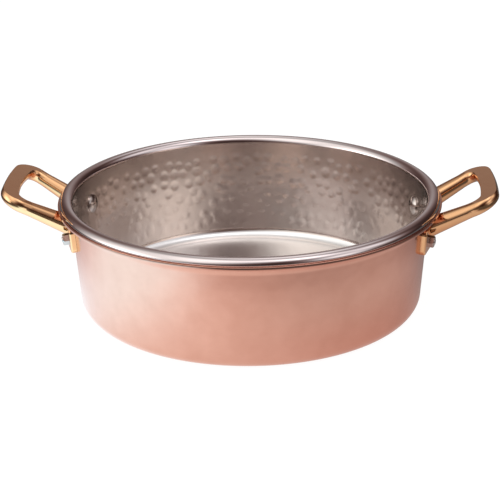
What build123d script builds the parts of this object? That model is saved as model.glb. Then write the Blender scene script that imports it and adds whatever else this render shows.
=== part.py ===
from build123d import *
import os
from math import asin, cos, degrees, pi, radians, sin, sqrt, tan

# Low two-handled copper pot: a drawn copper body with a flared flange, a thin
# steel lining whose edge is rolled over that flange, and two cast brass loop
# handles, each held by two bolts through the wall.
# Millimetres, +Z up, origin in the middle of the flat base, +X along the handles.

# Pot, driving sizes
RIM_INNER_DIAMETER = 240.0    # clear width where the wall meets the rolled rim
POT_HEIGHT = 80.0             # base to the top of the rolled rim
WALL_DRAFT = 4.3              # degrees the wall leans outwards
COPPER_THICKNESS = 2.0
LINING_THICKNESS = 0.6
BOND_GAP = 0.05               # bond line between the lining and the copper
BASE_CORNER_RADIUS = 10.0     # outside corner between base and wall
RIM_ROLL_RADIUS = 4.6         # outside radius of the lining's rolled edge
FLANGE_OVERHANG = 1.1         # copper edge showing beyond the rolled edge
FLANGE_LAND = 0.4             # flat at the outer end of the flare
FLANGE_EDGE_ROUNDING = 0.9    # broken edges of the copper flange

# Fasteners: M4 bolt with a wide domed head inside, thick hexagon nut outside
BOLT_BELOW_RIM = 23.0         # bolt axis below the top of the rim, at the outside of the wall
BOLT_OFFSET = 34.0            # bolt axis from the handle axis, measured across
SHANK_DIAMETER = 4.0
HOLE_CLEARANCE = 0.3          # hole diameter over shank diameter
HEAD_DIAMETER = 13.0
HEAD_HEIGHT = 3.2
HEAD_EDGE = 0.9               # straight part of the head below its dome
NUT_ACROSS_FLATS = 7.0
NUT_HEIGHT = 4.0
NUT_CORNER_CUT = 0.6          # height of the bevel on the nut's corners
THREAD_CLEARANCE = 0.1        # nut bore diameter over shank diameter
SHANK_PROTRUSION = 0.6        # end of the shank beyond the nut
SHANK_CHAMFER = 0.4
SEAT_GAP = 0.03               # running fit between parts that seat on each other

# Handle: flat-topped loop in a plane that rises outwards, on two splayed feet
LOOP_SLOPE = 29.0             # degrees
LOOP_ROOT_RISE = 6.2          # root of the loop above the bolts
LOOP_ROOT_STANDOFF = 1.1      # root of the loop outside the wall, on the handle axis
LOOP_LENGTH = 41.2            # root to the middle of the grip's end, up the slope
ARM_ROOT_OFFSET = 24.0        # middle of each arm from the handle axis at the root
ARM_END_OFFSET = 33.6         # and at the grip
ARM_INBOARD = 8.0             # how far the bar runs inwards of the root before the wall cuts it
ARM_WIDTH = 9.4
LOOP_THICKNESS = 9.4
GRIP_WIDTH = 11.4
GRIP_BOW = 2.8                # outward bow of the grip at its middle
LOOP_OUTER_CORNER = 15.5
LOOP_INNER_CORNER = 5.0
LOOP_EDGE_ROUNDING = 4.1
FACET_START = 31.0            # where the flat ground on top of the grip begins, up the slope
FACET_DEPTH = 1.4             # how deep that flat is at the middle of the grip
ROOT_RADIUS = 6.7             # each arm swells to this where it joins its foot
ROOT_LENGTH = 30.0            # over which the swelling fades into the arm
FADE_STEP = 0.05              # the swelling ends this far inside the arm's sides
FOOT_THICKNESS = 3.6
FOOT_BELOW_BOLT = 8.8
FOOT_ABOVE_BOLT = 9.0
FOOT_BEYOND_BOLT = 7.7        # from the bolt away from the handle axis
FOOT_INSIDE_BOLT = 14.5       # from the bolt towards the handle axis
FOOT_CORNER_RADIUS = 3.5
FOOT_EDGE_ROUNDING = 1.2

# Wall and rim geometry that follows from the sizes above
draft = radians(WALL_DRAFT)
rim_radius = RIM_INNER_DIAMETER / 2
roll_start_z = POT_HEIGHT - RIM_ROLL_RADIUS * (1 - sin(draft))
roll_centre_r = rim_radius + RIM_ROLL_RADIUS * cos(draft)
roll_centre_z = POT_HEIGHT - RIM_ROLL_RADIUS
copper_inset = LINING_THICKNESS + BOND_GAP
wall_thickness = copper_inset + COPPER_THICKNESS
flange_radius = roll_centre_r + RIM_ROLL_RADIUS + FLANGE_OVERHANG
flange_top_z = roll_centre_z - SEAT_GAP
lining_floor_z = COPPER_THICKNESS + BOND_GAP
bolt_height = POT_HEIGHT - BOLT_BELOW_RIM


def wall_radius(z, depth):
    """Radius of the surface that lies depth mm outside the lining's inner face."""
    return rim_radius - (roll_start_z - z) * tan(draft) + depth / cos(draft)


bolt_angle = degrees(asin(BOLT_OFFSET / wall_radius(bolt_height, wall_thickness)))


def revolved(outline):
    """Solid of revolution about Z from a closed outline in radius and height."""
    return revolve(Plane.XZ * outline, Axis.Z)


def rounded_at(face, corner, rounding):
    """The flat face with its corner nearest to the given point rounded."""
    return fillet(face.vertices().sort_by_distance((*corner, 0))[0], rounding)


def rounded_polygon(corners):
    """Face through (radius, height, rounding) corners, each rounded where it is not 0."""
    face = make_face(Polyline(*[(r, z) for r, z, _ in corners], close=True))
    for r, z, rounding in corners:
        if rounding > 0:
            face = rounded_at(face, (r, z), rounding)
    return face


def pot_outside(gap):
    """Filled outer form of the pot, grown by gap, that handles are seated against."""
    under_z = flange_top_z - COPPER_THICKNESS - gap
    depth = wall_thickness + gap
    flare = flange_radius - FLANGE_LAND - wall_radius(under_z, depth)
    return revolved(rounded_polygon([
        (0, -gap, 0),
        (wall_radius(-gap, depth), -gap, BASE_CORNER_RADIUS + gap),
        (wall_radius(under_z, depth), under_z, flare),
        (flange_radius + gap, under_z, FLANGE_EDGE_ROUNDING),
        (flange_radius + gap, POT_HEIGHT, 0),
        (0, POT_HEIGHT, 0)]))


def pot_inside(gap):
    """Filled cavity of the pot, shrunk by gap, that bolt heads are seated against."""
    floor_z = lining_floor_z + LINING_THICKNESS + gap
    inner_corner = BASE_CORNER_RADIUS - wall_thickness
    return revolved(rounded_polygon([
        (0, floor_z, 0),
        (wall_radius(floor_z, -gap), floor_z, inner_corner),
        (wall_radius(roll_start_z, -gap), roll_start_z, 0),
        (0, roll_start_z, 0)]))


def bolt_plane(angle):
    """Plane on the outside of the wall at a bolt: z outwards, y up the wall."""
    phi = radians(angle)
    r = wall_radius(bolt_height, wall_thickness)
    outwards = (cos(draft) * cos(phi), cos(draft) * sin(phi), -sin(draft))
    return Plane(
        origin=(r * cos(phi), r * sin(phi), bolt_height),
        x_dir=(-sin(phi), cos(phi), 0), z_dir=outwards)


def drilled(solid, angles):
    """The solid with a clearance hole for each bolt."""
    reach = 2 * (wall_thickness + FOOT_THICKNESS + NUT_HEIGHT)
    for angle in angles:
        hole = Cylinder((SHANK_DIAMETER + HOLE_CLEARANCE) / 2, 2 * reach)
        solid -= bolt_plane(angle) * hole
    return solid


def make_copper_body():
    """Drawn copper pan: flat base, leaning wall and a flange flared outwards."""
    flange_under_z = flange_top_z - COPPER_THICKNESS
    under_flare = flange_radius - FLANGE_LAND - wall_radius(flange_under_z, wall_thickness)
    upper_flare = flange_radius - FLANGE_LAND - wall_radius(flange_top_z, copper_inset)
    return revolved(rounded_polygon([
        (0, 0, 0),
        (wall_radius(0, wall_thickness), 0, BASE_CORNER_RADIUS),
        (wall_radius(flange_under_z, wall_thickness), flange_under_z, under_flare),
        (flange_radius, flange_under_z, FLANGE_EDGE_ROUNDING),
        (flange_radius, flange_top_z, FLANGE_EDGE_ROUNDING),
        (wall_radius(flange_top_z, copper_inset), flange_top_z, upper_flare),
        (wall_radius(COPPER_THICKNESS, copper_inset), COPPER_THICKNESS,
         BASE_CORNER_RADIUS - COPPER_THICKNESS),
        (0, COPPER_THICKNESS, 0)]))


def make_steel_lining():
    """Thin steel pan inside the copper, its edge rolled out and down onto the flange."""
    outer_corner = BASE_CORNER_RADIUS - COPPER_THICKNESS - BOND_GAP
    inner_floor_z = lining_floor_z + LINING_THICKNESS
    roll_start = 180 - WALL_DRAFT

    def on_roll(depth, angle):
        reach = RIM_ROLL_RADIUS - depth
        turn = radians(angle)
        return (roll_centre_r + reach * cos(turn), roll_centre_z + reach * sin(turn))

    outer_foot = (wall_radius(lining_floor_z, LINING_THICKNESS), lining_floor_z)
    inner_foot = (wall_radius(inner_floor_z, 0), inner_floor_z)
    under = [on_roll(LINING_THICKNESS, angle) for angle in (roll_start, 90, 0)]
    over = [on_roll(0, angle) for angle in (0, 90, roll_start)]
    face = make_face(
        Polyline((0, inner_floor_z), (0, lining_floor_z), outer_foot, under[0])
        + ThreePointArc(*under) + Line(under[-1], over[0]) + ThreePointArc(*over)
        + Polyline(over[-1], inner_foot, (0, inner_floor_z)))
    face = rounded_at(face, outer_foot, outer_corner)
    face = rounded_at(face, inner_foot, outer_corner - LINING_THICKNESS)
    return revolved(face)


def make_bolt(angle):
    """Domed head seated on the lining, shank through the wall, foot and nut."""
    seat_z = -wall_thickness
    rim_z = seat_z - HEAD_EDGE
    head_radius = HEAD_DIAMETER / 2
    dome = HEAD_HEIGHT - HEAD_EDGE
    dome_radius = (head_radius ** 2 + dome ** 2) / (2 * dome)
    half_r = head_radius / 2
    half_z = rim_z - dome + dome_radius - sqrt(dome_radius ** 2 - half_r ** 2)
    end_z = FOOT_THICKNESS + SEAT_GAP + NUT_HEIGHT + SHANK_PROTRUSION
    head = revolved(make_face(
        Polyline((0, rim_z - dome), (0, 0), (head_radius, 0), (head_radius, rim_z))
        + ThreePointArc((head_radius, rim_z), (half_r, half_z), (0, rim_z - dome))))
    shank = Pos(0, 0, (rim_z + end_z) / 2) * Cylinder(SHANK_DIAMETER / 2, end_z - rim_z)
    shank = chamfer(shank.edges().sort_by(Axis.Z)[-1], SHANK_CHAMFER)
    place = bolt_plane(angle)
    return (place * head & pot_inside(SEAT_GAP)) + place * shank


def make_nut(angle):
    """Hexagon nut on the foot, its outer corners bevelled."""
    flat = NUT_ACROSS_FLATS / 2
    corner = flat / cos(pi / 6)
    blank = extrude(RegularPolygon(flat, 6, major_radius=False), NUT_HEIGHT)
    bevel = revolved(make_face(Polyline(
        (0, 0), (corner, 0), (corner, NUT_HEIGHT - NUT_CORNER_CUT), (flat, NUT_HEIGHT),
        (0, NUT_HEIGHT), close=True)))
    bore = Cylinder((SHANK_DIAMETER + THREAD_CLEARANCE) / 2, 4 * NUT_HEIGHT)
    return bolt_plane(angle) * Pos(0, 0, FOOT_THICKNESS + SEAT_GAP) * ((blank & bevel) - bore)


def make_loop():
    """The bent bar of a handle in its own plane: u along the slope, v across."""
    spread = (ARM_END_OFFSET - ARM_ROOT_OFFSET) / LOOP_LENGTH
    inboard = -ARM_INBOARD

    def limb(u_end, side, bow, corner):
        """One edge of the bar: out along an arm, across the grip and back."""
        start = ARM_ROOT_OFFSET + spread * inboard + side
        end = ARM_ROOT_OFFSET + spread * u_end + side
        edge = (Line((inboard, -start), (u_end, -end))
                + ThreePointArc((u_end, -end), (u_end + bow, 0), (u_end, end))
                + Line((u_end, end), (inboard, start)))
        face = make_face(edge + Line((inboard, start), (inboard, -start)))
        for v in (-end, end):
            face = rounded_at(face, (u_end, v), corner)
        return face

    outer = limb(LOOP_LENGTH + GRIP_WIDTH / 2, ARM_WIDTH / 2, GRIP_BOW, LOOP_OUTER_CORNER)
    inner = limb(LOOP_LENGTH - GRIP_WIDTH / 2, -ARM_WIDTH / 2, GRIP_BOW, LOOP_INNER_CORNER)
    bar = extrude(outer - inner, LOOP_THICKNESS / 2, both=True)
    flats = bar.faces().sort_by(Axis.Z)
    long_edges = [
        edge for flat in (flats[0], flats[-1]) for edge in flat.edges()
        if edge.center().X > inboard + 0.01]
    bar = fillet(long_edges, LOOP_EDGE_ROUNDING)
    facet = Plane(
        origin=(FACET_START, 0, LOOP_THICKNESS / 2),
        z_dir=(FACET_DEPTH, 0, LOOP_LENGTH - FACET_START))
    return split(bar, facet, keep=Keep.BOTTOM)


def make_foot(side):
    """Flat lug of a handle on the wall round one bolt, wider towards the arm."""
    width = FOOT_BEYOND_BOLT + FOOT_INSIDE_BOLT
    height = FOOT_BELOW_BOLT + FOOT_ABOVE_BOLT
    middle = side * (FOOT_BEYOND_BOLT - FOOT_INSIDE_BOLT) / 2
    outline = Pos(middle, (FOOT_ABOVE_BOLT - FOOT_BELOW_BOLT) / 2) * RectangleRounded(
        width, height, FOOT_CORNER_RADIUS)
    lug = extrude(outline, FOOT_THICKNESS) + extrude(outline, -wall_thickness)
    lug = fillet(lug.faces().sort_by(Axis.Z)[-1].edges(), FOOT_EDGE_ROUNDING)
    return bolt_plane(side * bolt_angle) * lug


def make_handle():
    """Right-hand brass handle: loop, swollen roots and two feet in one casting."""
    slope = radians(LOOP_SLOPE)
    root_z = bolt_height + LOOP_ROOT_RISE
    root_x = wall_radius(root_z, wall_thickness) + LOOP_ROOT_STANDOFF
    loop_plane = Plane(
        origin=(root_x, 0, root_z),
        x_dir=(cos(slope), 0, sin(slope)), z_dir=(-sin(slope), 0, cos(slope)))
    handle = loop_plane * make_loop()
    for side in (1, -1):
        along = Vector(LOOP_LENGTH, side * (ARM_END_OFFSET - ARM_ROOT_OFFSET), 0).normalized()
        start = Vector(0, side * ARM_ROOT_OFFSET, 0) - along * FOOT_THICKNESS
        root = Solid.make_cone(
            ROOT_RADIUS, ARM_WIDTH / 2 - FADE_STEP, ROOT_LENGTH + FOOT_THICKNESS,
            Plane(origin=start, z_dir=along))
        handle += loop_plane * root
        handle += make_foot(side)
    handle -= pot_outside(SEAT_GAP)
    return drilled(handle, (bolt_angle, -bolt_angle))


bolt_angles = {
    "right_rear": bolt_angle,
    "right_front": -bolt_angle,
    "left_rear": 180 - bolt_angle,
    "left_front": 180 + bolt_angle,
}

right_handle = make_handle()
pieces = {
    "copper_body": drilled(make_copper_body(), bolt_angles.values()),
    "steel_lining": drilled(make_steel_lining(), bolt_angles.values()),
    "handle_right": right_handle,
    "handle_left": Rot(0, 0, 180) * right_handle,
}
for corner, angle in bolt_angles.items():
    pieces[f"{corner}_bolt"] = make_bolt(angle)
    pieces[f"{corner}_nut"] = make_nut(angle)

os.makedirs("parts", exist_ok=True)
for name, piece in pieces.items():
    export_step(piece, f"parts/{name}.step")
    print(f"{name}: {len(piece.solids())} solid, {piece.volume:.0f} mm3")
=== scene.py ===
# %% [markdown]
# A low copper pot with a hammered steel lining.
#
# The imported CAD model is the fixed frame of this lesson: every size and place comes from it.
# The handles, bolts and nuts keep their CAD meshes and only get a finish. The lining and
# the copper body are modelled again on top of it, because a hammer has marked both, and
# those marks are small shapes that a CAD solid doesn't carry.

import math
import random

import bmesh
import bpy
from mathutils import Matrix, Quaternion, Vector, kdtree


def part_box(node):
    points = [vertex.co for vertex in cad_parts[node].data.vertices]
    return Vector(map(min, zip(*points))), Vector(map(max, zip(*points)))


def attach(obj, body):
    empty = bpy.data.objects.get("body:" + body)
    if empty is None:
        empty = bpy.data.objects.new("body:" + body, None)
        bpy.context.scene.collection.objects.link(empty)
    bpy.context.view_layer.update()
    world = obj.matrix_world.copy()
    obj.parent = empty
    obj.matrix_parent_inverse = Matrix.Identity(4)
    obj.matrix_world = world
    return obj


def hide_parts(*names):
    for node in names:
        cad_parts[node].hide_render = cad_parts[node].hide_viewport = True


MM = 0.001

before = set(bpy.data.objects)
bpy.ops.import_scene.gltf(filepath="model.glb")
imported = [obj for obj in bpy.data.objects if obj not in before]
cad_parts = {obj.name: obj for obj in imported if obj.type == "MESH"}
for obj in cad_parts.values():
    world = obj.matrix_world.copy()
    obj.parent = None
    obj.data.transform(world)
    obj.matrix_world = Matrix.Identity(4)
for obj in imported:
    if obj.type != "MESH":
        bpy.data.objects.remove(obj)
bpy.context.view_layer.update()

# %% [markdown]
# The camera. A product photographer stands well back with a long lens, so that the round
# rim stays a calm ellipse. Distance, height and lens here give the same ellipse as the
# photograph: the pot is seen from about 22 degrees above, turned a little, and the picture
# leans by two thirds of a degree.

# %% Set up the camera
VIEW_DISTANCE = 1038.3 * MM
VIEW_AZIMUTH = 2.9
VIEW_ELEVATION = 21.57
VIEW_ROLL = -0.69
AIM = Vector((-0.3 * MM, 0, 35.6 * MM))
LENS = 108
FILM_WIDTH = 36


def direction(azimuth, elevation):
    """Unit vector away from the pot, from degrees: azimuth 0 is the front, 90 the right."""
    turn, rise = math.radians(azimuth), math.radians(elevation)
    return Vector((
        math.sin(turn) * math.cos(rise), -math.cos(turn) * math.cos(rise), math.sin(rise)))


camera = bpy.data.objects.new("camera", bpy.data.cameras.new("camera"))
bpy.context.scene.collection.objects.link(camera)
bpy.context.scene.camera = camera
camera.data.lens = LENS
camera.data.sensor_width = FILM_WIDTH
backwards = direction(VIEW_AZIMUTH, VIEW_ELEVATION)
camera.location = AIM + VIEW_DISTANCE * backwards
camera.rotation_mode = "QUATERNION"
camera.rotation_quaternion = (
    (-backwards).to_track_quat("-Z", "Y") @ Quaternion((0, 0, 1), math.radians(VIEW_ROLL)))
print("camera at, mm:", [round(x / MM) for x in camera.location])

# %% [markdown]
# Shader maths. A finish such as "brushed, a little rougher here and there" is a sum of
# masks and noises. Wiring each Math node by hand hides that sum, so a small class wraps
# a socket and lets Python's own signs add the nodes.

# %% A socket that does arithmetic
class Wire:
    """An output socket of a material: + - * on it add the Math nodes that work it out."""

    def __init__(self, socket):
        self.socket = socket

    @staticmethod
    def node(tree, kind, inputs=None, out=0, **settings):
        """Adds a node: its settings first, then the values or links of its sockets."""
        made = tree.nodes.new("ShaderNode" + kind)
        for name, value in settings.items():
            setattr(made, name, value)

        def pick(sockets, key):
            named = [socket for socket in sockets if socket.name == key and socket.enabled]
            return named[0] if named else sockets[key]

        for name, value in (inputs or {}).items():
            socket = pick(made.inputs, name)
            if isinstance(value, Wire):
                tree.links.new(value.socket, socket)
            else:
                socket.default_value = value
        return Wire(pick(made.outputs, out))

    def maths(self, operation, first, second=0.0):
        return Wire.node(
            self.socket.id_data, "Math", {0: first, 1: second}, operation=operation)

    def __add__(self, other):
        return self.maths("ADD", self, other)

    def __sub__(self, other):
        return self.maths("SUBTRACT", self, other)

    def __rsub__(self, other):
        return self.maths("SUBTRACT", other, self)

    def __mul__(self, other):
        return self.maths("MULTIPLY", self, other)

    __radd__ = __add__
    __rmul__ = __mul__

    def power(self, exponent):
        return self.maths("POWER", self, exponent)

    def exp(self):
        return self.maths("EXPONENT", self)

    def between(self, low, high):
        """0 at low and below, 1 at high and above, and a soft step in between."""
        return Wire.node(
            self.socket.id_data, "MapRange", {"Value": self, "From Min": low, "From Max": high},
            interpolation_type="SMOOTHSTEP")

    def axes(self):
        """The x, y and z of a vector, each a wire of its own."""
        split = Wire.node(self.socket.id_data, "SeparateXYZ", {"Vector": self})
        return [Wire(socket) for socket in split.socket.node.outputs]


# %% [markdown]
# Every finish on this pot is bare metal: the colour of the metal, how far its polish has
# gone, and a relief too fine to model. One function builds that material, and each metal
# says what its own noises are.

# %% The frame of a metal finish
def metal(name, build, **fixed):
    """A Principled metal whose colour, roughness and fine relief come from build(tree, place)."""
    material = bpy.data.materials.new(name)
    material.use_nodes = True
    tree = material.node_tree
    shader = tree.nodes["Principled BSDF"]
    shader.inputs["Metallic"].default_value = 1.0
    for socket, value in fixed.items():
        shader.inputs[socket].default_value = value
    place = Wire.node(tree, "TexCoord", out="Object")
    colour, roughness, height, depth = build(tree, place)
    relief = Wire.node(tree, "Bump", {"Height": height, "Distance": depth, "Strength": 1.0})
    tree.links.new(colour.socket, shader.inputs["Base Color"])
    tree.links.new(roughness.socket, shader.inputs["Roughness"])
    tree.links.new(relief.socket, shader.inputs["Normal"])
    print("metal:", name)
    return material


def noise(tree, place, size, detail=3, harshness=0.5):
    """Soft random value around 0.5, whose spots are about size metres across."""
    return Wire.node(
        tree, "TexNoise", {
            "Vector": place, "Scale": 1 / size, "Detail": detail, "Roughness": harshness},
        out="Fac")


def blend(tree, amount, first, second):
    """The colour first where amount is 0 and second where it is 1."""
    first, second = (
        colour if isinstance(colour, Wire) else (*colour, 1) for colour in (first, second))
    return Wire.node(
        tree, "Mix", {"Factor": amount, "A": first, "B": second}, out="Result",
        data_type="RGBA")


# %% [markdown]
# The wall of the pot. Copper and lining are both turned shapes, so both start as one
# closed outline of radius and height, which a spin carries round the axis. The visible
# stretches get a point every millimetre or so, because hammer marks will be pressed into
# them; the hidden sides, where steel lies on copper, need only their corners. The sizes are
# the CAD's, but for the corners of the flange's edge: the edge of a trimmed sheet is nearly
# square, and it draws the thin dark line under the rim.

# %% Sizes of the wall
WALL_LEAN = math.radians(4.3)
RIM_RADIUS = 120 * MM
ROLL_RADIUS = 4.6 * MM
LINING = 0.6 * MM
BOND = 0.05 * MM
COPPER = 2.0 * MM
CORNER = 10 * MM
FLANGE_OVERHANG = 1.1 * MM
FLANGE_EDGE = 0.35 * MM
FLANGE_LAND = 0.4 * MM
SEAT_GAP = 0.03 * MM

lean = math.degrees(WALL_LEAN)
wall = LINING + BOND + COPPER
rim_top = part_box("steel_lining")[1].z
roll_z = rim_top - ROLL_RADIUS
roll_r = RIM_RADIUS + ROLL_RADIUS * math.cos(WALL_LEAN)
roll_start_z = rim_top - ROLL_RADIUS * (1 - math.sin(WALL_LEAN))
flange_r = roll_r + ROLL_RADIUS + FLANGE_OVERHANG
flange_z = roll_z - SEAT_GAP
print("rim at, mm:", round(rim_top / MM, 2), "and flange's radius:", round(flange_r / MM, 2))

# %% Lines and bends of an outline
STEP = 1.0 * MM
COPPER_STEP = 1.3 * MM
HIDDEN_STEP = 3 * MM
FLOOR_STEP = 12 * MM
HUB = 8 * MM


def wall_radius(z, depth):
    """Radius of the surface that lies depth outside the lining's inner face."""
    return (RIM_RADIUS - (roll_start_z - z) * math.tan(WALL_LEAN)
            + depth / math.cos(WALL_LEAN))


def line(start, end, step):
    """Evenly spaced points from start up to, but without, end."""
    count = max(1, round(math.dist(start, end) / step))
    return [tuple(a + (b - a) * i / count for a, b in zip(start, end)) for i in range(count)]


def arc(centre, radius, first, last, step):
    """Points on an arc from first to last (degrees), without the last one."""
    count = max(1, round(abs(math.radians(last - first)) * radius / step))
    turn = [math.radians(first + (last - first) * i / count) for i in range(count)]
    return [(centre[0] + radius * math.cos(a), centre[1] + radius * math.sin(a)) for a in turn]


def corner_bend(floor_z, depth, radius, step):
    """The rounded corner of a surface, from where it leaves the wall down to its floor."""
    centre_z = floor_z + radius
    centre_r = wall_radius(centre_z, depth) - radius / math.cos(WALL_LEAN)
    return (arc((centre_r, centre_z), radius, -lean, -90, step)
            + [(centre_r, floor_z)])


# %% The lining's outline
floor_z = COPPER + BOND + LINING
under = ROLL_RADIUS - LINING
bend = corner_bend(floor_z, 0, CORNER - wall, STEP)
back_bend = corner_bend(COPPER + BOND, LINING, CORNER - COPPER - BOND, HIDDEN_STEP)
lining_outline = (
    line((HUB, floor_z), bend[-1], FLOOR_STEP)
    + bend[:0:-1]
    + line(bend[0], (RIM_RADIUS, roll_start_z), STEP)
    + arc((roll_r, roll_z), ROLL_RADIUS, 180 - lean, 0, STEP)
    + [(roll_r + ROLL_RADIUS, roll_z), (roll_r + under, roll_z)]
    + arc((roll_r, roll_z), under, 0, 180 - lean, HIDDEN_STEP)[1:]
    + [(wall_radius(roll_start_z, LINING), roll_start_z)]
    + back_bend
    + [(HUB, COPPER + BOND)])
print("the lining's outline has", len(lining_outline), "points")

# %% The copper's outline
FLARE_STEP = 0.5 * MM
EDGE_STEP = 0.45 * MM
EDGE_CORNER_STEP = 0.14 * MM


def flare(z, depth, step):
    """The bend from the wall out onto a flange whose face is at height z."""
    radius = flange_r - FLANGE_LAND - wall_radius(z, depth)
    centre_r = wall_radius(z - radius, depth) + radius / math.cos(WALL_LEAN)
    return arc((centre_r, z - radius), radius, 180 - lean, 90, step) + [(centre_r, z)]


edge_r = flange_r - FLANGE_EDGE
edge_low, edge_high = flange_z - COPPER + FLANGE_EDGE, flange_z - FLANGE_EDGE
bend = corner_bend(0, wall, CORNER, COPPER_STEP)
back_bend = corner_bend(COPPER, LINING + BOND, CORNER - COPPER, HIDDEN_STEP)
under_flare = flare(flange_z - COPPER, wall, FLARE_STEP)
upper_flare = flare(flange_z, LINING + BOND, HIDDEN_STEP)
copper_outline = (
    line((HUB, 0), bend[-1], FLOOR_STEP)
    + bend[:0:-1]
    + line(bend[0], under_flare[0], COPPER_STEP)
    + under_flare
    + arc((edge_r, edge_low), FLANGE_EDGE, -90, 0, EDGE_CORNER_STEP)
    + line((flange_r, edge_low), (flange_r, edge_high), EDGE_STEP)
    + arc((edge_r, edge_high), FLANGE_EDGE, 0, 90, EDGE_CORNER_STEP)
    + [(edge_r, flange_z)]
    + upper_flare[::-1]
    + back_bend
    + [(HUB, COPPER)])
print("the copper's outline has", len(copper_outline), "points")

# %% [markdown]
# From an outline to a turned shape. One spin of 860 steps is slow, because it carries the
# whole outline round step by step. So a narrow strip is spun first, and copies of the strip
# then close the circle. A small flat disc closes each end of the outline at the hub.

# %% Spin an outline round the pot's axis
TURNS = 860
COPIES = 20
WELD = 0.01 * MM


def spun(name, outline):
    """A bmesh of an outline spun round the pot's axis, its two ends closed by flat discs."""
    shape = bmesh.new()
    points = [shape.verts.new((r, 0, z)) for r, z in outline]
    chain = [shape.edges.new(pair) for pair in zip(points, points[1:])]
    strip = math.tau / COPIES
    bmesh.ops.spin(
        shape, geom=points + chain, axis=(0, 0, 1), angle=strip, steps=TURNS // COPIES)
    bmesh.ops.spin(
        shape, geom=shape.verts[:] + shape.edges[:] + shape.faces[:], axis=(0, 0, 1),
        angle=math.tau - strip, steps=COPIES - 1, use_duplicate=True)
    bmesh.ops.remove_doubles(shape, verts=shape.verts[:], dist=WELD)
    bmesh.ops.holes_fill(shape, edges=shape.edges[:], sides=0)
    bmesh.ops.recalc_face_normals(shape, faces=shape.faces[:])
    for face in shape.faces:
        face.smooth = True
    print(name, "faces:", len(shape.faces))
    return shape


# %% [markdown]
# Hammer marks. A planishing hammer leaves one shallow round dish for each blow, and the
# blows go round the wall in courses that are never quite regular. A hammer with a flat
# face leaves a dish that is level in the middle and steep at its edge, so its depth falls
# off with a high power of the distance from its middle; a domed hammer needs the square.
# Where two dishes meet, the deeper one wins, which leaves the thin ridge between them.

# %% Blows of the hammer
ON_THE_WALL = 0.3 * MM
FADE = 3 * MM


def blows(low, high, depth_in_wall, pitch, course, scatter, seed):
    """Middles of the blows, on the surface depth_in_wall outside the lining's inner face."""
    dice = random.Random(seed)
    places = []
    courses = round((high - low) / course)
    for row in range(courses + 1):
        z = low + (high - low) * row / courses
        radius = wall_radius(z, depth_in_wall)
        count = round(math.tau * radius / pitch)
        for number in range(count):
            turn = math.tau * (number + row % 2 / 2) / count
            turn += scatter * pitch / radius * dice.uniform(-1, 1)
            height = z + scatter * course * dice.uniform(-1, 1)
            places.append((turn, height, dice.random(), dice.random()))
    return places


def hammered(shape, places, depth_in_wall, low, high, radius, depth, wander, flat):
    """Presses a dish into the shape's wall at each place, between the heights low and high.

    A depth above 0 presses the wall outwards. wander is how much the dishes differ.
    """
    middles = kdtree.KDTree(len(places))
    for number, (turn, height, _, _) in enumerate(places):
        r = wall_radius(height, depth_in_wall)
        middles.insert((r * math.cos(turn), r * math.sin(turn), height), number)
    middles.balance()
    pressed = 0
    for vert in shape.verts:
        r, z = math.hypot(vert.co.x, vert.co.y), vert.co.z
        if abs(r - wall_radius(z, depth_in_wall)) > ON_THE_WALL or not low < z < high:
            continue
        deepest = 0.0
        for _, number, distance in middles.find_range(vert.co, radius * (1 + wander)):
            _, _, wide, strong = places[number]
            reach = radius * (1 + wander * (2 * wide - 1))
            if distance < reach:
                dish = (1 + wander * (2 * strong - 1)) * (1 - (distance / reach) ** flat)
                deepest = max(deepest, dish)
        edge = min(1, (z - low) / FADE, (high - z) / FADE)
        move = depth * deepest * edge
        vert.co.x *= 1 + move / r
        vert.co.y *= 1 + move / r
        pressed += deepest > 0
    print("points pressed:", pressed)


# %% [markdown]
# From a shape to a piece. A finished piece sits at the origin with its place in its mesh,
# as the CAD nodes do, rides on the pot's one body, and hides the CAD node it stands for.

# %% Turn a bmesh into a piece of the pot
def piece(name, shape, materials, slot, *stands_for):
    mesh = bpy.data.meshes.new(name)
    shape.to_mesh(mesh)
    shape.free()
    made = bpy.data.objects.new(name, mesh)
    bpy.context.scene.collection.objects.link(made)
    for material in materials:
        mesh.materials.append(material)
    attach(made, "root")
    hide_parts(*stands_for)
    triangles = sum(len(face.vertices) - 2 for face in mesh.polygons)
    print(name, "triangles:", triangles)


# %% [markdown]
# The metals. The lining's wall was ground satin before it was hammered, so its reflections
# are a little blurred and warm. Its rolled rim was buffed bright. The copper is satin and
# faintly cloudy, but for the trimmed edge of its flange, which was buffed with the rim. The
# handles are cast brass, buffed and never quite even, and bolts and nuts are plain bright
# steel. All of them are one idea: patches of more and less polish, 3 to 14 mm across, under
# a grain a few thousandths of a millimetre deep. Only the brass has shallow waves instead,
# a twentieth of a millimetre deep, as a casting keeps them under its polish.

# %% Patchy metals
def patchy(dark, pale, patch, polish, grain, depth):
    """A finish that changes a little from patch to patch, under a fine grain.

    polish is the roughness and how much of it the patches add; grain is the grain's size,
    detail and harshness.
    """
    def build(tree, place):
        spots = noise(tree, place, patch)
        least, more = polish
        return (
            blend(tree, spots, dark, pale), least + more * spots, noise(tree, place, *grain),
            depth)
    return build


BUFFED_GRAIN = (1.0 * MM, 4, 0.7)
COPPER_GRAIN = (1.5 * MM, 4, 0.7)
DARK_COPPER = (0.59, 0.295, 0.218)
PALE_COPPER = (0.70, 0.38, 0.292)

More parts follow.
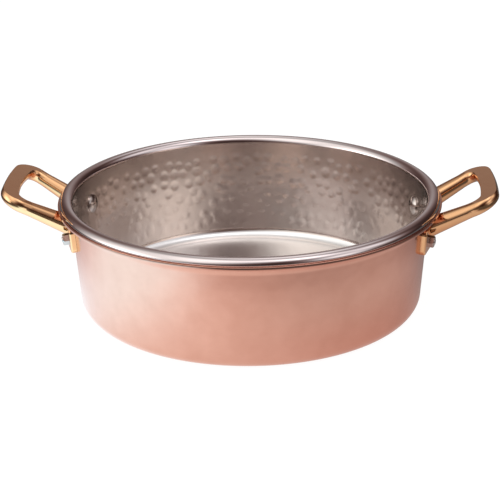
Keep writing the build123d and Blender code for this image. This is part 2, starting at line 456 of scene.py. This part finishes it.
steel_wall = metal("hammered steel", patchy(
    (0.745, 0.66, 0.615), (0.79, 0.70, 0.655), patch=9 * MM, polish=(0.17, 0.07),
    grain=BUFFED_GRAIN, depth=0.002 * MM))
steel_rim = metal("polished steel", patchy(
    (0.69, 0.605, 0.60), (0.73, 0.645, 0.64), patch=12 * MM, polish=(0.06, 0.05),
    grain=BUFFED_GRAIN, depth=0.002 * MM))
copper = metal("satin copper", patchy(
    DARK_COPPER, PALE_COPPER, patch=14 * MM, polish=(0.16, 0.06), grain=COPPER_GRAIN,
    depth=0.005 * MM))
copper_edge = metal("buffed copper", patchy(
    DARK_COPPER, PALE_COPPER, patch=14 * MM, polish=(0.04, 0.03), grain=COPPER_GRAIN,
    depth=0.002 * MM))
brass = metal("polished brass", patchy(
    (0.74, 0.405, 0.205), (0.79, 0.45, 0.24), patch=8 * MM, polish=(0.08, 0.08),
    grain=(9 * MM, 4, 0.6), depth=0.05 * MM))
fastener = metal("bright fastener steel", patchy(
    (0.46, 0.40, 0.37), (0.54, 0.48, 0.45), patch=3 * MM, polish=(0.12, 0.10),
    grain=(0.8 * MM, 3, 0.6), depth=0.005 * MM))

# %% [markdown]
# The floor of the lining was spun against a fine brush. That leaves rings, which stretch a
# reflection towards the middle. The rings are a noise that reads only the distance from
# the axis, and an anisotropic shader does the stretching.

# %% Spun steel
RING = 1.2 * MM


def spun_steel(tree, place):
    x, y, _ = place.axes()
    radius = (x * x + y * y).power(0.5)
    rings = Wire.node(
        tree, "TexNoise", {"W": radius, "Scale": 1 / RING, "Detail": 1.0}, out="Fac",
        noise_dimensions="1D")
    colour = blend(tree, rings, (0.87, 0.86, 0.855), (0.91, 0.90, 0.895))
    return colour, 0.26 + 0.08 * rings, rings, 0.003 * MM


steel_floor = metal("spun steel", spun_steel, Anisotropic=0.5)

# %% [markdown]
# The lining. On the real pot it is a thin stainless cup: pressed, hammered from the inside
# and rolled over the edge of the copper. Here its outline is spun round, the dishes are
# pressed outwards into its wall, and its floor and rim get their own finish by height. The
# hammer stays clear of the rolled rim and of the corner at the floor, as in the photograph.

# %% Make the lining
NECK = 13 * MM
HEEL = 12 * MM
MARGIN = 5 * MM
SPUN_TO = 4 * MM
BUFFED_FROM = 0.5 * MM
dent_low, dent_high = floor_z + HEEL, roll_start_z - NECK
lining = spun("lining", lining_outline)
inner_blows = blows(
    dent_low, dent_high, 0, pitch=9.2 * MM, course=8.6 * MM, scatter=0.34, seed=7)
hammered(
    lining, inner_blows, 0, dent_low - MARGIN, dent_high + MARGIN, radius=3.3 * MM,
    depth=0.13 * MM, wander=0.18, flat=3)
for face in lining.faces:
    if max(vert.co.z for vert in face.verts) < floor_z + SPUN_TO:
        face.material_index = 1
    elif min(vert.co.z for vert in face.verts) > roll_start_z - BUFFED_FROM:
        face.material_index = 2
piece(
    "hammered_lining", lining, [steel_wall, steel_floor, steel_rim], "lining_steel",
    "steel_lining")

# %% [markdown]
# The copper body. The blows of the hammer reach it only through the steel, so outside they
# are wide, faint swells that bend a reflection without showing an edge. They are made the
# same way as the dishes: larger, much shallower and overlapping, and pressed inwards, which
# keeps the body inside its CAD size. The edge of the flange gets its own polish by radius.

# %% Make the copper body
FIRST_COURSE, LAST_COURSE = 14 * MM, 62 * MM
SWELL_LOW, SWELL_HIGH = 10 * MM, 66 * MM
body = spun("copper", copper_outline)
outer_blows = blows(
    FIRST_COURSE, LAST_COURSE, wall, pitch=11 * MM, course=9 * MM, scatter=0.35, seed=11)
hammered(
    body, outer_blows, wall, SWELL_LOW, SWELL_HIGH, radius=7 * MM, depth=-0.05 * MM,
    wander=0.3, flat=2)
for face in body.faces:
    if min(math.hypot(vert.co.x, vert.co.y) for vert in face.verts) > edge_r - WELD:
        face.material_index = 1
piece("hammered_copper_body", body, [copper, copper_edge], "copper", "copper_body")

# %% [markdown]
# Handles, bolts and nuts. Their shapes are complete in the CAD model: the handle's ground
# facet, its rounded bar and feet, the domed heads and the six flats. They only get a metal.

# %% Finish of the parts that keep their CAD mesh
finished = []
for name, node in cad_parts.items():
    if name.startswith("handle"):
        node.data.materials[0] = brass
    elif name.endswith(("bolt", "nut")):
        node.data.materials[0] = fastener
    else:
        continue
    finished.append(name)
print("finished:", finished)

# %% [markdown]
# The table. The background of the photograph is pure white, so the table shines by itself
# where the camera sees it, and its matt half still takes the shadow of the pot. Metal
# shows the table too, with light painted on it: a sheet of pale paper that glows brightest
# and bluest on the window's side, a painted pool of window light, and glows dimmer and
# warmer behind the pot and towards its own end, three hands from the pot's middle, as
# painted shade. Close to the pot, on the side turned away from the window, the paper
# carries a painted reflection of the copper's warm glow. The dark room past the paper is
# what draws the thin dark lines in the rim and on the handles.

# %% The table
TABLE_SIZE = 12
MATT = (0.15, 0.15, 0.15, 1)
bpy.ops.mesh.primitive_plane_add(size=TABLE_SIZE)
table = bpy.context.object
table.name = "table"
paper = bpy.data.materials.new("pale paper")
paper.use_nodes = True
paper.cycles.emission_sampling = "NONE"
table.data.materials.append(paper)
tree = paper.node_tree
tree.nodes.clear()
output = tree.nodes.new("ShaderNodeOutputMaterial")
matt = Wire.node(tree, "BsdfDiffuse", {"Color": MATT})
print("table of", TABLE_SIZE, "m")

# %% Where the painted light on the paper is bright and where it is dim
PAPER_EDGE, PAPER_END = 170 * MM, 330 * MM
WINDOW_REACH = 60 * MM
WINDOW_FADE = (-170 * MM, -20 * MM)
LEFT_FADE = (-60 * MM, 140 * MM)
BEHIND_FADE = (-90 * MM, 120 * MM)
# Painted shade: the paper behind the pot is dimmed in what the metal sees.
PAINTED_SHADE_BEHIND = 0.78
PLAIN, LEFT_MORE, WINDOW_MORE = 0.70, 0.32, 0.85
place = Wire.node(tree, "TexCoord", out="Object")
across, along, _ = place.axes()
away = Wire.node(tree, "VectorMath", {0: place}, out="Value", operation="LENGTH")
# Painted light on the paper, seen only by the metal: brighter by the window, painted shade behind
# the pot, and a fade to dark at the paper's end.
window_side = 1.0 - across.between(*WINDOW_FADE)
left_half = 1.0 - across.between(*LEFT_FADE)
near = 1.0 - (away - WINDOW_REACH * window_side).between(PAPER_EDGE, PAPER_END)
behind = along.between(*BEHIND_FADE)
painted_light_level = near * (1.0 - PAINTED_SHADE_BEHIND * behind)
painted_light_in_metal = painted_light_level * (PLAIN + LEFT_MORE * left_half + WINDOW_MORE * window_side)
print("paper ends", PAPER_END / MM, "mm from the pot's axis")

# %% What the camera and the metal see of it
WHITE = 0.95
NO_TINT = (1.0, 1.0, 1.0)
# Painted tints of the paper in the metal: warm in its painted shade, cool painted daylight on the
# window's side, and a painted reflection of the copper's glow close to the pot.
PAINTED_SHADE_TINT = (1.3, 1.0, 0.97)
PAINTED_DAYLIGHT_TINT = (0.71, 1.08, 1.27)
PAINTED_COPPER_GLOW = (0.9, 0.72, 0.68)
GLOW_FADE = (-40 * MM, 120 * MM)
GLOW_REACH = (125 * MM, 190 * MM)
# Painted reflection: the copper's warm glow on the paper, on the side away from the window,
# fading with distance from the pot.
painted_glow_side = across.between(*GLOW_FADE) * (1.0 - away.between(*GLOW_REACH))
mirrored = (Wire.node(tree, "LightPath", out="Is Glossy Ray")
            + Wire.node(tree, "LightPath", out="Is Transmission Ray"))
# The camera sees an even white; glossy and transmission rays see the painted light and shade.
strength = Wire.node(tree, "LightPath", out="Is Camera Ray") * WHITE + mirrored * painted_light_in_metal
painted_shade_mix = blend(tree, mirrored * (1.0 - painted_light_level), NO_TINT, PAINTED_SHADE_TINT)
painted_daylight_mix = blend(tree, mirrored * window_side * (1.0 - behind), painted_shade_mix, PAINTED_DAYLIGHT_TINT)
tinted = blend(tree, mirrored * painted_glow_side, painted_daylight_mix, PAINTED_COPPER_GLOW)
shine = Wire.node(tree, "Emission", {"Color": tinted, "Strength": strength})
both = Wire.node(tree, "AddShader", {0: matt, 1: shine})
tree.links.new(both.socket, output.inputs["Surface"])
print("the camera sees the table", WHITE, "bright, beside its matt half")

# %% [markdown]
# The room. Polished metal shows where each light is, so the lights are soft patches of a
# dim sky, each with a direction, a tightness and a strength. Their places were found from
# the reflections in the photograph: a low window on the left, lamps in front on both sides,
# low ones for the rim and high ones for the floor of the pot, one lamp on the right and one
# behind, and a pale curtain that closes the room at the back. The lamps are nearly white
# and the dim room between them is warm, which turns the dark parts of the rim brown.

# %% The soft lights
ROOM_LEVEL = 0.04
SOFT_LIGHTS = {
    "window, left": (286, 0, 9, 2.75),
    "lamp, left and high": (270, 43, 8, 0.8),
    "lamp, front left": (328, 32, 22, 0.9),
    "soft box, front left and high": (332, 63, 12, 1.4),
    "lamp, front right and low": (57, 17, 24, 1.3),
    "lamp, front right and high": (54, 63, 24, 1.9),
    "lamp, right": (90, 37, 24, 1.1),
    "lamp, behind and high": (170, 60, 20, 1.2),
    "pale curtain behind": (180, 12, 18, 0.38),
}
world = bpy.data.worlds.new("studio")
bpy.context.scene.world = world
world.use_nodes = True
tree = world.node_tree
tree.nodes.clear()
output = tree.nodes.new("ShaderNodeOutputWorld")
towards = Wire.node(tree, "TexCoord", out="Generated")
level = ROOM_LEVEL
for azimuth, height, tightness, strength in SOFT_LIGHTS.values():
    facing = Wire.node(
        tree, "VectorMath", {0: towards, 1: direction(azimuth, height)}, out="Value",
        operation="DOT_PRODUCT")
    level = ((facing - 1.0) * tightness).exp() * strength + level
print(len(SOFT_LIGHTS), "soft lights in the room")

# %% The colour of the room
LEFT_LAMPS = (1.0, 0.995, 0.97)
RIGHT_LAMPS = (1.0, 0.975, 0.99)
SIDE = 0.6
WARM_DARK = (1.0, 0.55, 0.48)
WARM_BELOW = 0.5
sideways = towards.axes()[0].between(-SIDE, SIDE)
lamp_colour = blend(tree, sideways, LEFT_LAMPS, RIGHT_LAMPS)
colour = blend(tree, level * (1 / WARM_BELOW), WARM_DARK, lamp_colour)
room = Wire.node(tree, "Background", {"Color": colour, "Strength": level})
tree.links.new(room.socket, output.inputs["Surface"])
print("warm where the room is dimmer than", WARM_BELOW)

# %% [markdown]
# The end. The picture keeps plain sRGB colours, so that a metal comes out as it was written.
# The pieces must stay inside it.

# %% Finish
bpy.context.scene.view_settings.view_transform = "Standard"
